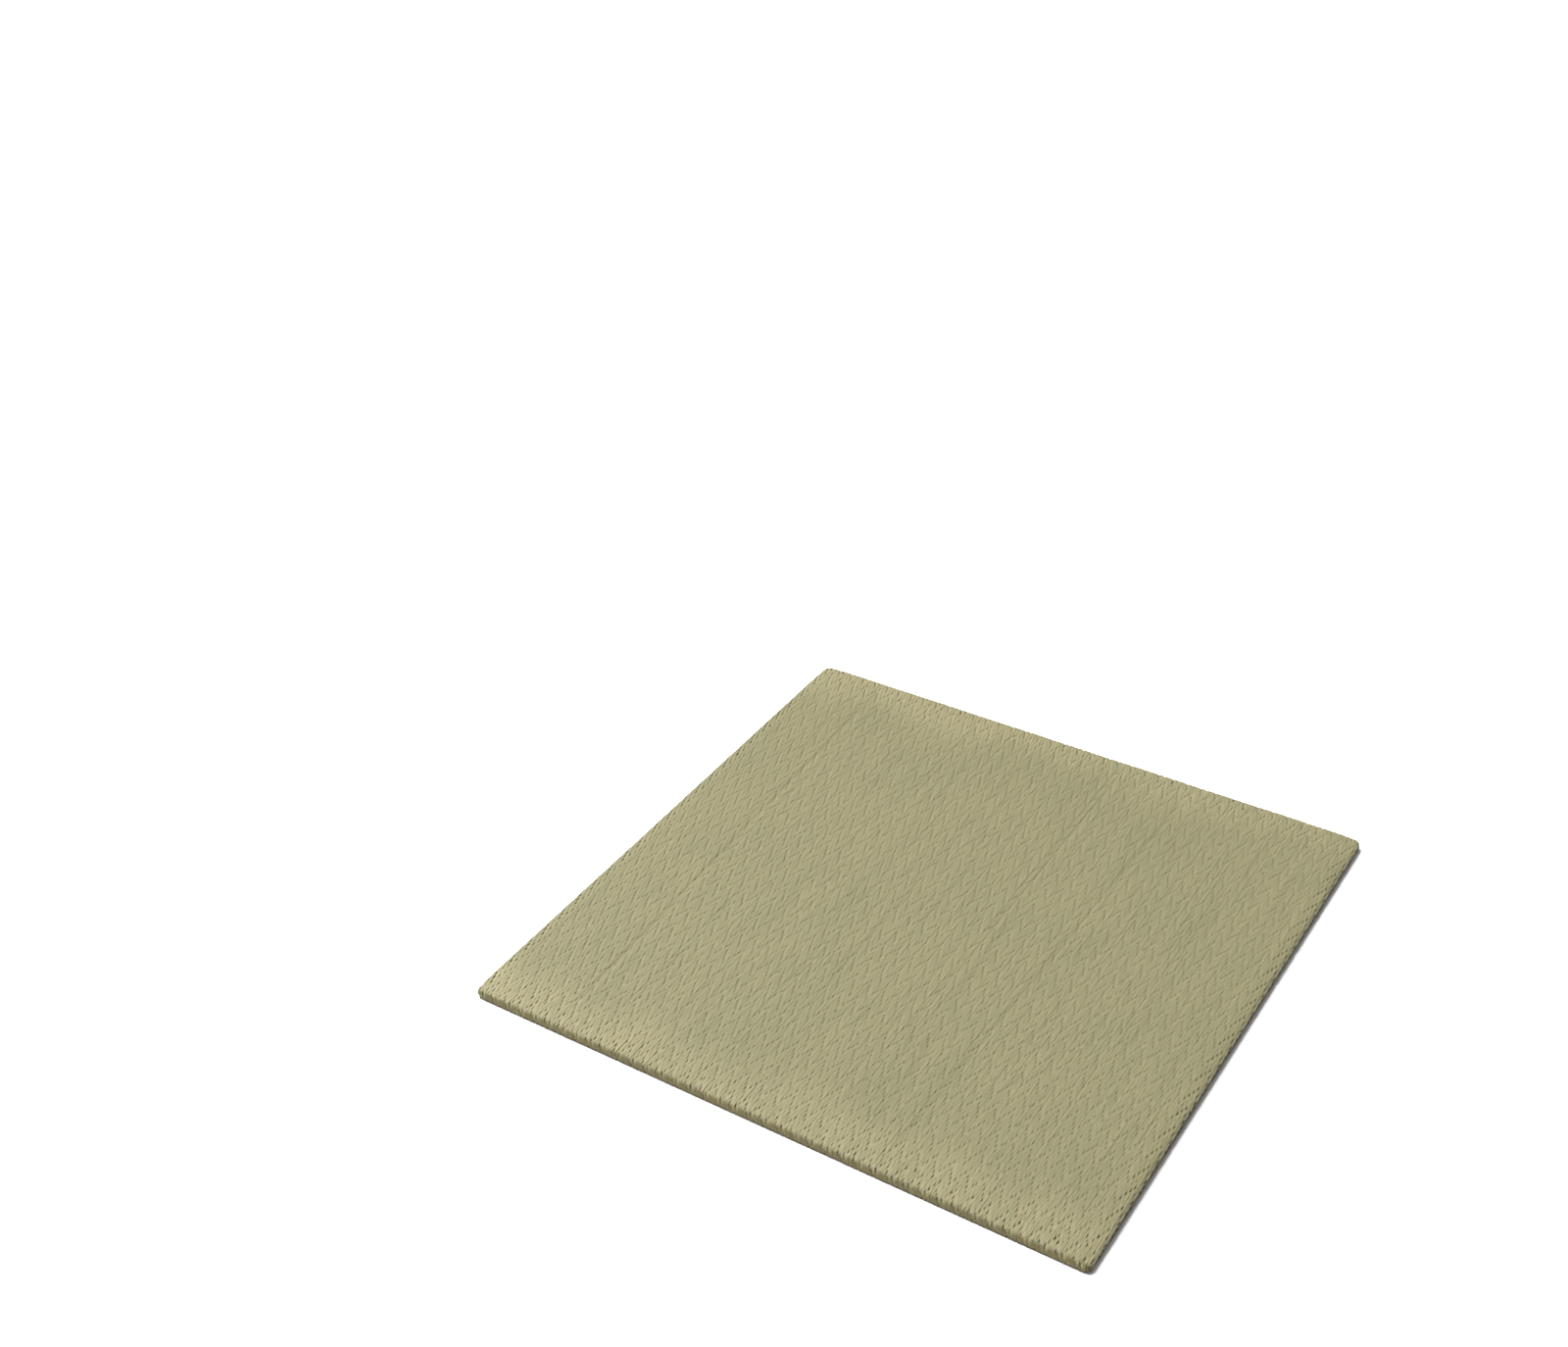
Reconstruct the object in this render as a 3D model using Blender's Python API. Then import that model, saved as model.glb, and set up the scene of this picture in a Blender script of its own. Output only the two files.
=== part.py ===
"""Borderless tatami mat: a flat square board wrapped in woven rush.

The rush strands run along Y. They bend tightly down over the near and far sides, and the
cloth rolls over more softly on the left and right sides. Metres, +Z up, the origin at the
middle of the underside.
"""

import math

import bmesh
import bpy
from mathutils import Vector

# Driving dimensions
SIDE = 0.820
THICKNESS = 0.015
CORNER_RADIUS = 0.007
BEND_RADIUS = 0.0022
ROLL_RADIUS = 0.0050
FOOT_RADIUS = 0.0012

# The band along each side where the top falls off a little before its edge
BEND_BAND = 0.012
BEND_FALL = 0.0002
ROLL_BAND = 0.022
ROLL_FALL = 0.0007
CORNER_BAND = 0.045
CORNER_FALL = 0.0012

# Fineness of the mesh. The rim is the outermost grid line's distance from the side.
RIM = 0.0090
CORNER_STEPS = 6
EDGE_STEPS = 5
FOOT_STEPS = 2
RUN_STEPS = 24
LINE_GAP = 0.008

# Soft creases between groups of strands. Each row is one crease, with its place across the
# mat at the far side and at the near side, its depth and its half width.
CREASES = (
    {"far": -0.308, "near": -0.287, "depth": 0.00050, "half": 0.006},
    {"far": -0.041, "near": -0.047, "depth": 0.00030, "half": 0.005},
    {"far": 0.082, "near": 0.072, "depth": 0.00030, "half": 0.005},
    {"far": 0.177, "near": 0.154, "depth": 0.00050, "half": 0.006},
)

# Broad unevenness of the top. Each row is one wave, with its height, its length across and
# along the mat, and its phase in turns.
SWELLS = (
    {"height": 0.00020, "across": 0.310, "along": 1.700, "phase": 0.15},
    {"height": 0.00015, "across": 0.137, "along": 2.300, "phase": 0.60},
    {"height": 0.00015, "across": 0.900, "along": 0.410, "phase": 0.35},
)

# Unevenness of the top edge where the strands bend over, in the same columns
EDGE_WAVES = (
    {"height": 0.00025, "across": 0.173, "along": 5.0, "phase": 0.20},
    {"height": 0.00015, "across": 0.071, "along": 5.0, "phase": 0.75},
)
EDGE_WAVE_BAND = 0.030

RUSH_GREEN = (0.37, 0.35, 0.20, 1.0)
MERGE_DISTANCE = 0.00001


def clear_scene():
    for obj in list(bpy.data.objects):
        bpy.data.objects.remove(obj, do_unlink=True)


def rush_material():
    material = bpy.data.materials.new("woven_rush")
    material.use_nodes = True
    shader = material.node_tree.nodes["Principled BSDF"]
    shader.inputs["Base Color"].default_value = RUSH_GREEN
    shader.inputs["Roughness"].default_value = 0.6
    shader.inputs["Metallic"].default_value = 0.0
    return material


def soft_step(t):
    """0 up to 0, 1 from 1 on, and an even curve between."""
    t = min(max(t, 0.0), 1.0)
    return t * t * (3.0 - 2.0 * t)


def wave_sum(waves, x, y):
    """The sum of a table's waves at a place, never above 0."""
    total = 0.0
    for wave in waves:
        turns = x / wave["across"] + y / wave["along"] + wave["phase"]
        total += wave["height"] * (math.cos(math.tau * turns) - 1.0) / 2.0
    return total


def crease_depth(x, y):
    """How far the creases lower the top at a place. They fade out short of both ends."""
    along = (y + SIDE / 2) / SIDE
    fade = soft_step(along / 0.12) * soft_step((1.0 - along) / 0.12)
    depth = 0.0
    for crease in CREASES:
        middle = crease["near"] + (crease["far"] - crease["near"]) * along
        reach = abs(x - middle) / crease["half"]
        if reach < 1.0:
            depth = max(depth, crease["depth"] * math.cos(reach * math.pi / 2) ** 2)
    return depth * fade


def top_height(x, y):
    """The height of the top at a place, before its edge is rounded."""
    from_side = SIDE / 2 - abs(x)
    from_end = SIDE / 2 - abs(y)
    roll = ROLL_FALL * (1.0 - soft_step(from_side / ROLL_BAND))
    bend = BEND_FALL * (1.0 - soft_step(from_end / BEND_BAND))
    corner = CORNER_FALL * (1.0 - soft_step(math.hypot(from_side, from_end) / CORNER_BAND))
    edge = wave_sum(EDGE_WAVES, x, y) * (1.0 - soft_step(from_end / EDGE_WAVE_BAND))
    inside = soft_step(min(from_side, from_end) / EDGE_WAVE_BAND)
    swell = wave_sum(SWELLS, x, y) * inside
    return THICKNESS - roll - bend - corner + edge + swell - crease_depth(x, y)


def even_lines():
    """Evenly spaced places from side to side, and the rim outside them."""
    half = SIDE / 2 - ROLL_BAND
    even = [half * (2.0 * k / RUN_STEPS - 1.0) for k in range(RUN_STEPS + 1)]
    return [RIM - SIDE / 2] + even + [SIDE / 2 - RIM]


def grid_lines():
    """The places of the grid's lines across X: an even set, and three lines in each crease."""
    creases = []
    for crease in CREASES:
        creases += [crease["near"] - crease["half"], crease["near"], crease["near"] + crease["half"]]
    kept = [x for x in even_lines() if all(abs(x - c) > LINE_GAP for c in creases)]
    return sorted(kept + creases)


def skewed(x, y):
    """Moves a grid line sideways, so that the lines in a crease stay in it from end to end."""
    along = (y + SIDE / 2) / SIDE
    half = SIDE / 2 - ROLL_BAND
    stops = [(-half, 0.0)]
    stops += [(c["near"], c["far"] - c["near"]) for c in CREASES]
    stops += [(half, 0.0)]
    for (x0, shift0), (x1, shift1) in zip(stops, stops[1:]):
        if x0 <= x <= x1:
            return x + along * (shift0 + (shift1 - shift0) * (x - x0) / (x1 - x0))
    return x


def outline(xs, ys):
    """The mat's plan, anticlockwise, as (grid column, grid row, point, outward normal)."""
    half = SIDE / 2
    inner = half - CORNER_RADIUS
    last_x = len(xs) - 1
    last_y = len(ys) - 1
    points = []

    def corner(column, row, middle, start):
        for k in range(CORNER_STEPS + 1):
            angle = start + math.radians(90.0) * k / CORNER_STEPS
            normal = Vector((math.cos(angle), math.sin(angle)))
            points.append((column, row, middle + normal * CORNER_RADIUS, normal))

    for i in range(1, last_x):
        points.append((i, 0, Vector((skewed(xs[i], -half), -half)), Vector((0.0, -1.0))))
    corner(last_x, 0, Vector((inner, -inner)), math.radians(-90.0))
    for j in range(1, last_y):
        points.append((last_x, j, Vector((half, ys[j])), Vector((1.0, 0.0))))
    corner(last_x, last_y, Vector((inner, inner)), 0.0)
    for i in range(last_x - 1, 0, -1):
        points.append((i, last_y, Vector((skewed(xs[i], half), half)), Vector((0.0, 1.0))))
    corner(0, last_y, Vector((-inner, inner)), math.radians(90.0))
    for j in range(last_y - 1, 0, -1):
        points.append((0, j, Vector((-half, ys[j])), Vector((-1.0, 0.0))))
    corner(0, 0, Vector((-inner, -inner)), math.radians(180.0))
    return points


def edge_radius(normal):
    """The top edge's radius: tight at the bends, soft at the rolls, blended round a corner."""
    return BEND_RADIUS * normal.y ** 2 + ROLL_RADIUS * normal.x ** 2


def top_ring(bm, plan, angle):
    """A ring of vertices round the top edge, at an angle down from its inner side."""
    ring = []
    for _, _, point, normal in plan:
        radius = edge_radius(normal)
        place = point - normal * radius * (1.0 - math.sin(angle))
        height = top_height(place.x, place.y) - radius * (1.0 - math.cos(angle))
        ring.append(bm.verts.new((place.x, place.y, height)))
    return ring


def foot_ring(bm, plan, angle):
    """A ring of vertices round the underside's edge, at an angle down from the wall."""
    ring = []
    for _, _, point, normal in plan:
        place = point - normal * FOOT_RADIUS * (1.0 - math.cos(angle))
        ring.append(bm.verts.new((place.x, place.y, FOOT_RADIUS * (1.0 - math.sin(angle)))))
    return ring


def bridge(bm, upper, lower):
    """A band of faces between two rings."""
    count = len(upper)
    for k in range(count):
        n = (k + 1) % count
        corners = [upper[k], lower[k], lower[n], upper[n]]
        distinct = list(dict.fromkeys(corners))
        if len(distinct) > 2:
            bm.faces.new(distinct)


def make_mat():
    xs = grid_lines()
    ys = even_lines()
    plan = outline(xs, ys)
    bm = bmesh.new()

    # The top's grid, whose rim is the innermost ring
    grid = []
    for y in ys:
        row = []
        for x in xs:
            place = skewed(x, y)
            row.append(bm.verts.new((place, y, top_height(place, y))))
        grid.append(row)
    for j in range(len(ys) - 1):
        for i in range(len(xs) - 1):
            bm.faces.new((grid[j][i], grid[j][i + 1], grid[j + 1][i + 1], grid[j + 1][i]))
    rings = [[grid[row][column] for column, row, _, _ in plan]]

    # The rounded top edge, the upright wall and the rounded foot
    for step in range(EDGE_STEPS + 1):
        rings.append(top_ring(bm, plan, math.radians(90.0) * step / EDGE_STEPS))
    for step in range(FOOT_STEPS + 1):
        rings.append(foot_ring(bm, plan, math.radians(90.0) * step / FOOT_STEPS))
    for upper, lower in zip(rings, rings[1:]):
        bridge(bm, upper, lower)
    bm.faces.new(list(reversed(rings[-1])))

    bmesh.ops.remove_doubles(bm, verts=bm.verts, dist=MERGE_DISTANCE)
    bmesh.ops.recalc_face_normals(bm, faces=bm.faces)
    mesh = bpy.data.meshes.new("mat")
    bm.to_mesh(mesh)
    bm.free()
    mesh.shade_smooth()
    mesh.set_sharp_from_angle(angle=math.radians(40.0))
    mesh.materials.append(rush_material())
    mat = bpy.data.objects.new("mat", mesh)
    bpy.context.scene.collection.objects.link(mat)
    return mat


clear_scene()
make_mat()
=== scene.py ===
import math
import bpy
import numpy as np
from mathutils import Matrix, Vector


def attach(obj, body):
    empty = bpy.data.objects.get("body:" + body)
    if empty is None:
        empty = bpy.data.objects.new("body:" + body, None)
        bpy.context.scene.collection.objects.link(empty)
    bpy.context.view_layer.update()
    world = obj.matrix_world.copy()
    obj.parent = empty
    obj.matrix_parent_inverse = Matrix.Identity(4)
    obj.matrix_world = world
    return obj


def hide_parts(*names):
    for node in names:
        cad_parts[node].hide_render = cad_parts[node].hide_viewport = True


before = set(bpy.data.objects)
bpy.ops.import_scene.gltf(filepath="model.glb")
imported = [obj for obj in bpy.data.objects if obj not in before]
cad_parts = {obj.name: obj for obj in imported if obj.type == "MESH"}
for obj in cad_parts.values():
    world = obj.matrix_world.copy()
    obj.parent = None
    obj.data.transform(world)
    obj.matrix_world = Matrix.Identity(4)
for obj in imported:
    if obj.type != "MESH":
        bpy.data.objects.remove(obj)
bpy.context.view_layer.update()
print("frame loaded")

# The mat's form, in metres. These are the solid's own values, so the weave lies where the solid is.
# Only the curves at the top edge are slightly different.
matForm = {
    "side": 0.820,
    "thickness": 0.015,
    "cornerRadius": 0.007,    # in plan
    "bendRadius": 0.0030,     # top edge where the strands bend down, near and far
    "rollRadius": 0.0042,     # top edge on the left and right
    "footRadius": 0.0012,
    "rollBand": 0.018,        # width of the band beside a roll where the top falls off
    "rollFall": 0.0011,
    "bendBand": 0.012,        # the same beside a bend
    "bendFall": 0.0004,
    "cornerBand": 0.045,      # and at a corner
    "cornerFall": 0.0012,
    "edgeWaveBand": 0.030,    # where the edge's waves end and the top's swells begin
    "creaseFade": 0.12,       # share of the length over which a crease fades out at its ends
}

# Soft creases between groups of strands: place across at the far side and at the near side, depth,
# half width
creases = (
    (-0.308, -0.287, 0.00050, 0.006),
    (-0.041, -0.047, 0.00030, 0.005),
    (0.082, 0.072, 0.00030, 0.005),
    (0.177, 0.154, 0.00050, 0.006),
)

# Unevenness of the top and of its edge: height, length across, length along, phase in turns
swells = (
    (0.00020, 0.310, 1.700, 0.15),
    (0.00015, 0.137, 2.300, 0.60),
    (0.00015, 0.900, 0.410, 0.35),
)
edgeWaves = (
    (0.00025, 0.173, 5.0, 0.20),
    (0.00015, 0.071, 5.0, 0.75),
)

half = matForm["side"] / 2
inner = half - matForm["cornerRadius"]
thickness = matForm["thickness"]


def softStep(t):
    t = np.clip(t, 0.0, 1.0)
    return t * t * (3.0 - 2.0 * t)


def waveSum(waves, x, y):
    total = 0.0
    for height, across, along, phase in waves:
        total = total + height * (np.cos(math.tau * (x / across + y / along + phase)) - 1.0) / 2.0
    return total


def creaseShape(lines, x, y):
    # how deep the creases are at a place; they fade out short of the near and far sides
    along = (y + half) / matForm["side"]
    depth = 0.0
    for far, near, deep, wide in lines:
        reach = np.clip(np.abs(x - near - (far - near) * along) / wide, 0.0, 1.0)
        depth = np.maximum(depth, deep * np.cos(reach * math.pi / 2) ** 2)
    fade = matForm["creaseFade"]
    return depth * softStep(along / fade) * softStep((1.0 - along) / fade)


def topFall(x, y):
    # how far the top lies under the full thickness at a place, as a negative height
    fromSide = half - np.abs(x)
    fromEnd = half - np.abs(y)
    fall = matForm["rollFall"] * (1.0 - softStep(fromSide / matForm["rollBand"]))
    fall = fall + matForm["bendFall"] * (1.0 - softStep(fromEnd / matForm["bendBand"]))
    cornerReach = np.hypot(fromSide, fromEnd) / matForm["cornerBand"]
    fall = fall + matForm["cornerFall"] * (1.0 - softStep(cornerReach))
    edge = waveSum(edgeWaves, x, y) * (1.0 - softStep(fromEnd / matForm["edgeWaveBand"]))
    inside = softStep(np.minimum(fromSide, fromEnd) / matForm["edgeWaveBand"])
    return edge + waveSum(swells, x, y) * inside - fall - creaseShape(creases, x, y)


# Camera
cameraSetup = {
    "lens": 47.295,
    "sensorWidth": 36.0,
    "nearest": 0.05,
    "farthest": 60.0,
    "place": (0.94296, -1.75819, 1.71425),
    "turn": (56.141, 1.458, 32.426),    # degrees
}


def makeCamera():
    data = bpy.data.cameras.new("camera")
    data.lens = cameraSetup["lens"]
    data.sensor_fit = "HORIZONTAL"
    data.sensor_width = cameraSetup["sensorWidth"]
    data.clip_start = cameraSetup["nearest"]
    data.clip_end = cameraSetup["farthest"]
    camera = bpy.data.objects.new("camera", data)
    camera.location = cameraSetup["place"]
    camera.rotation_euler = [math.radians(a) for a in cameraSetup["turn"]]
    bpy.context.scene.collection.objects.link(camera)
    bpy.context.scene.camera = camera


# Studio: a pale floor, a soft main light from the left, a light for the floor alone, a weak fill from
# the left and even light all round. Spreads, azimuths and elevations are in degrees.
studio = {
    "floorHalf": 30.0,
    "floorColour": (0.92, 0.92, 0.92),
    "floorRoughness": 0.9,
    "floorSheen": 0.1,
    "backdrop": (1.0, 1.0, 1.0),
    "allRound": 0.34,
    "main": {
        "strength": 2.91,
        "spread": 18.0,
        "azimuth": 177.0,
        "elevation": 54.0,
        "colour": (1.0, 0.99, 0.97),
    },
    "floorOnly": {
        "strength": 2.6,
        "spread": 14.0,
        "azimuth": 177.0,
        "elevation": 70.5,
        "colour": (1.0, 1.0, 1.0),
    },
    "side": {
        "power": 4.2,
        "width": 0.9,
        "place": (-1.15, -0.10, 0.85),
        "colour": (1.0, 0.99, 0.96),
    },
}


def makeSun(name, setup):
    data = bpy.data.lights.new(name, "SUN")
    data.energy = setup["strength"]
    data.angle = math.radians(setup["spread"])
    data.color = setup["colour"]
    light = bpy.data.objects.new(name, data)
    tilt = math.radians(90.0 - setup["elevation"])
    light.rotation_euler = (tilt, 0.0, math.radians(setup["azimuth"] + 90.0))
    bpy.context.scene.collection.objects.link(light)
    return light


def makePanel(name, setup):
    data = bpy.data.lights.new(name, "AREA")
    data.energy = setup["power"]
    data.size = setup["width"]
    data.color = setup["colour"]
    light = bpy.data.objects.new(name, data)
    light.location = setup["place"]
    light.rotation_euler = (-Vector(setup["place"])).to_track_quat("-Z", "Y").to_euler()
    bpy.context.scene.collection.objects.link(light)


def makeWorld():
    world = bpy.data.worlds.new("studio")
    world.use_nodes = True
    tree = world.node_tree
    allRound = tree.nodes["Background"]
    allRound.inputs["Color"].default_value = (*studio["backdrop"], 1.0)
    allRound.inputs["Strength"].default_value = studio["allRound"]

    # seen beyond the floor's edge, the backdrop is as white as the floor
    backdrop = tree.nodes.new("ShaderNodeBackground")
    backdrop.inputs["Color"].default_value = (*studio["backdrop"], 1.0)
    rays = tree.nodes.new("ShaderNodeLightPath")
    mixed = tree.nodes.new("ShaderNodeMixShader")
    tree.links.new(rays.outputs["Is Camera Ray"], mixed.inputs[0])
    tree.links.new(allRound.outputs[0], mixed.inputs[1])
    tree.links.new(backdrop.outputs[0], mixed.inputs[2])
    tree.links.new(mixed.outputs[0], tree.nodes["World Output"].inputs["Surface"])
    bpy.context.scene.world = world


def makeFloor():
    reach = studio["floorHalf"]
    corners = [(-reach, -reach, 0), (reach, -reach, 0), (reach, reach, 0), (-reach, reach, 0)]
    mesh = bpy.data.meshes.new("floor")
    mesh.from_pydata(corners, [], [(0, 1, 2, 3)])
    material = bpy.data.materials.new("paleFloor")
    material.use_nodes = True
    shader = material.node_tree.nodes["Principled BSDF"]
    shader.inputs["Base Color"].default_value = (*studio["floorColour"], 1.0)
    shader.inputs["Roughness"].default_value = studio["floorRoughness"]
    shader.inputs["Specular IOR Level"].default_value = studio["floorSheen"]
    mesh.materials.append(material)
    floor = bpy.data.objects.new("floor", mesh)
    bpy.context.scene.collection.objects.link(floor)

    # the floor has a light of its own, so it stays white and shadows on it are short
    lit = bpy.data.collections.new("litByFloorLight")
    lit.objects.link(floor)
    floorLight = makeSun("floorLight", studio["floorOnly"])
    floorLight.light_linking.receiver_collection = lit


makeCamera()
makeWorld()
makeSun("mainLight", studio["main"])
makePanel("sideLight", studio["side"])
makeFloor()
bpy.context.scene.view_settings.view_transform = "Standard"
bpy.context.scene.view_settings.look = "None"
print("camera, lights and floor made")


# Node helpers. A value is a number, a colour or another node's output.
def addNode(tree, kind, x, y, **settings):
    node = tree.nodes.new(kind)
    node.location = (x, y)
    for name, value in settings.items():
        setattr(node, name, value)
    return node


def mathNode(tree, operation, x, y, first, second=None, third=None):
    node = addNode(tree, "ShaderNodeMath", x, y, operation=operation)
    for socket, value in zip(node.inputs, (first, second, third)):
        if value is None:
            continue
        if isinstance(value, (int, float)):
            socket.default_value = value
        else:
            tree.links.new(value, socket)
    return node.outputs[0]


def rangeNode(tree, x, y, value, low, high, toLow, toHigh):
    node = addNode(tree, "ShaderNodeMapRange", x, y, interpolation_type="SMOOTHSTEP")
    tree.links.new(value, node.inputs["Value"])
    for name, number in (("From Min", low), ("From Max", high), ("To Min", toLow), ("To Max", toHigh)):
        node.inputs[name].default_value = number
    return node.outputs["Result"]


def splitNode(tree, x, y, vector):
    node = addNode(tree, "ShaderNodeSeparateXYZ", x, y)
    tree.links.new(vector, node.inputs[0])
    return node.outputs


def joinNode(tree, x, y, *values):
    node = addNode(tree, "ShaderNodeCombineXYZ", x, y)
    for socket, value in zip(node.inputs, values):
        tree.links.new(value, socket)
    return node.outputs[0]


def mixColour(tree, x, y, factor, first, second, blend="MIX"):
    node = addNode(tree, "ShaderNodeMix", x, y, data_type="RGBA", blend_type=blend)
    for name, value in (("Factor_Float", factor), ("A_Color", first), ("B_Color", second)):
        socket = next(s for s in node.inputs if s.identifier == name)
        if isinstance(value, (int, float)):
            socket.default_value = value
        elif isinstance(value, tuple):
            socket.default_value = (*value, 1.0)
        else:
            tree.links.new(value, socket)
    return next(s for s in node.outputs if s.identifier == "Result_Color")


def addBump(tree, x, y, height, distance, strength, shader):
    bump = addNode(tree, "ShaderNodeBump", x, y)
    bump.inputs["Distance"].default_value = distance
    bump.inputs["Strength"].default_value = strength
    tree.links.new(height, bump.inputs["Height"])
    tree.links.new(bump.outputs["Normal"], shader.inputs["Normal"])


def newGroup(name, inputs, outputs):
    group = bpy.data.node_groups.new(name, "ShaderNodeTree")
    for label, kind, value in inputs:
        socket = group.interface.new_socket(name=label, in_out="INPUT", socket_type=kind)
        if value is not None:
            socket.default_value = value
    for label, kind in outputs:
        group.interface.new_socket(name=label, in_out="OUTPUT", socket_type=kind)
    start = addNode(group, "NodeGroupInput", -900, 0)
    end = addNode(group, "NodeGroupOutput", 600, 0)
    return group, start.outputs, end.inputs


def makeFibreGrain():
    # long fine fibres that run along the second way of the place vector
    inputs = [
        ("Place", "NodeSocketVector", None),
        ("Across", "NodeSocketFloat", 12.0),
        ("Along", "NodeSocketFloat", 2.0),
    ]
    group, given, out = newGroup("fibreGrain", inputs, [("Grain", "NodeSocketFloat")])
    x, y, z = splitNode(group, -700, 0, given["Place"])
    narrow = mathNode(group, "MULTIPLY", -500, 120, x, given["Across"])
    drawn = mathNode(group, "MULTIPLY", -500, -60, y, given["Along"])
    fine = addNode(group, "ShaderNodeTexNoise", -100, 0)
    fine.inputs["Scale"].default_value = 1.0
    fine.inputs["Detail"].default_value = 3.0
    fine.inputs["Roughness"].default_value = 0.6
    group.links.new(joinNode(group, -300, 0, narrow, drawn, z), fine.inputs["Vector"])
    group.links.new(fine.outputs["Fac"], out["Grain"])
    return group


def makeBroadPatches():
    # slow change of tone over a hand's breadth
    inputs = [("Place", "NodeSocketVector", None), ("Size", "NodeSocketFloat", 0.15)]
    group, given, out = newGroup("broadPatches", inputs, [("Mask", "NodeSocketFloat")])
    slow = addNode(group, "ShaderNodeTexNoise", -300, 0)
    slow.inputs["Detail"].default_value = 2.0
    group.links.new(given["Place"], slow.inputs["Vector"])
    group.links.new(mathNode(group, "DIVIDE", -600, -150, 1.0, given["Size"]), slow.inputs["Scale"])
    group.links.new(rangeNode(group, 0, 0, slow.outputs["Fac"], 0.32, 0.68, 0.0, 1.0), out["Mask"])
    return group


fibreGrain = makeFibreGrain()
broadPatches = makeBroadPatches()


def placeGroup(tree, group, x, y, **values):
    node = addNode(tree, "ShaderNodeGroup", x, y, node_tree=group)
    for name, value in values.items():
        if isinstance(value, (int, float)):
            node.inputs[name].default_value = value
        else:
            tree.links.new(value, node.inputs[name])
    return node.outputs


rushFinish = {
    "green": (0.296, 0.287, 0.160),       # greenish stems
    "straw": (0.353, 0.326, 0.181),       # yellowed stems
    "shade": (0.215, 0.200, 0.095),       # painted shade on the strands' sides and where they lie low
    "bendTone": (0.424, 0.389, 0.222),    # looser strands beside the near and far bends
    "crest": (0.510, 0.475, 0.285),       # painted highlight, paler where a float stands highest
    "fleck": (0.400, 0.250, 0.110),       # rare brown spots
    "foot": (0.122, 0.096, 0.012),        # painted shade on the side faces, down to the floor
    "rollFoot": (0.042, 0.029, 0.006),    # painted shade on the rolled sides beside the floor, and the painted contact shadow line
    "stems": 1.99,                        # just under the two stems side by side in one strand
    "stemApart": 7.37,                    # from one stem to the next in the noise that gives their tones
    "stemHold": 0.16,                     # lower holds a stem's tone for longer
    "stemWarmth": 0.70,                   # how far each thing turns the green to straw
    "floatWarmth": 0.30,
    "patchWarmth": 0.25,
    "patchSize": 0.16,
    "bandRagged": 0.030,                  # how far the paler bands' inner edges wander
    "bandShare": 0.64,                    # the paler bands' strength in the middle of a side
    "bandPaintedLight": -0.55,                  # and its change for each metre to the right: painted light, the bands brighter on the left where the light comes from
    # shares of the painted shade on the side faces, the rolled sides' lower part and the contact shadow
    # line
    "sideShadeShare": 0.86,
    "rollShadeShare": 0.84,
    "contactShadowShare": 0.60,
    "sideShade": 0.45,
    "sideFrom": 0.66,                     # where a strand's sides begin: 0 in its middle, 1 at its edge
    "deepShade": 0.22,
    "crestShare": 0.45,
    "crestFull": -2.0,                    # the attribute's value that gets all of the painted highlight
    "darkest": 0.82,                      # brightness of the darkest fibre
    "floatChange": 0.09,                  # how much one float's brightness differs from the next
    "fibreChange": 0.36,                  # the same for its fibres
    "fibres": {"Across": 7.0, "Along": 1.6},
    "flecksAlong": 7.0,                   # places for a fleck in one repeat of a strand
    "fleckShare": 0.4,
    "fleckChance": 0.0012,                # in the middle of the mat
    "fleckChanceAtBend": 0.008,           # and what the bands beside the bends add to it
    "roughness": 0.52,
    "roughnessChange": 0.22,
    "sheen": 0.42,
    "bumpDistance": 0.00018,
    "bumpStrength": 0.55,
    "fibreHeight": 0.5,                   # shares of the bump
    "stemHeight": 0.7,
}

# Where the tones and the painted shades change, in metres: from the mat's middle, or upwards for the last
# three
rushPlaces = {
    "bendBand": (0.330, 0.415),
    "rollSide": (0.4030, 0.4090),
    "endSide": (0.4030, 0.4075),
    "sideFace": (0.0153, 0.0095),
    "rollShadeHeights": (0.0130, 0.0050),
    "floorLine": (0.0046, 0.0012),
}
rollFaceLower = 0.0040    # the side faces' painted shade begins this much lower on a rolled side


def stemTones(tree, column, across, along):
    # each stem keeps its tone for a long way, and each float differs a little
    stemOfStrand = mathNode(tree, "MULTIPLY", -1500, 500, across, rushFinish["stems"])
    stem = mathNode(tree, "FLOOR", -1300, 500, stemOfStrand)
    stemNumber = mathNode(tree, "MULTIPLY_ADD", -1100, 500, column, 2.0, stem)
    apart = mathNode(tree, "MULTIPLY", -900, 600, stemNumber, rushFinish["stemApart"])
    held = mathNode(tree, "MULTIPLY", -900, 400, along, rushFinish["stemHold"])
    stemTone = addNode(tree, "ShaderNodeTexNoise", -500, 500)
    stemTone.inputs["Scale"].default_value = 1.0
    stemTone.inputs["Detail"].default_value = 1.0
    tree.links.new(joinNode(tree, -700, 500, apart, held), stemTone.inputs["Vector"])
    floatNumber = mathNode(tree, "ROUND", -900, 200, along)
    floatTone = addNode(tree, "ShaderNodeTexWhiteNoise", -500, 200)
    tree.links.new(joinNode(tree, -700, 200, column, floatNumber), floatTone.inputs["Vector"])

    # the noise seldom leaves the middle of its range, which is drawn out to 0 to 1
    stemMix = rangeNode(tree, -300, 500, stemTone.outputs["Fac"], 0.34, 0.66, 0.0, 1.0)
    return stemMix, floatTone.outputs["Value"]


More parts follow.
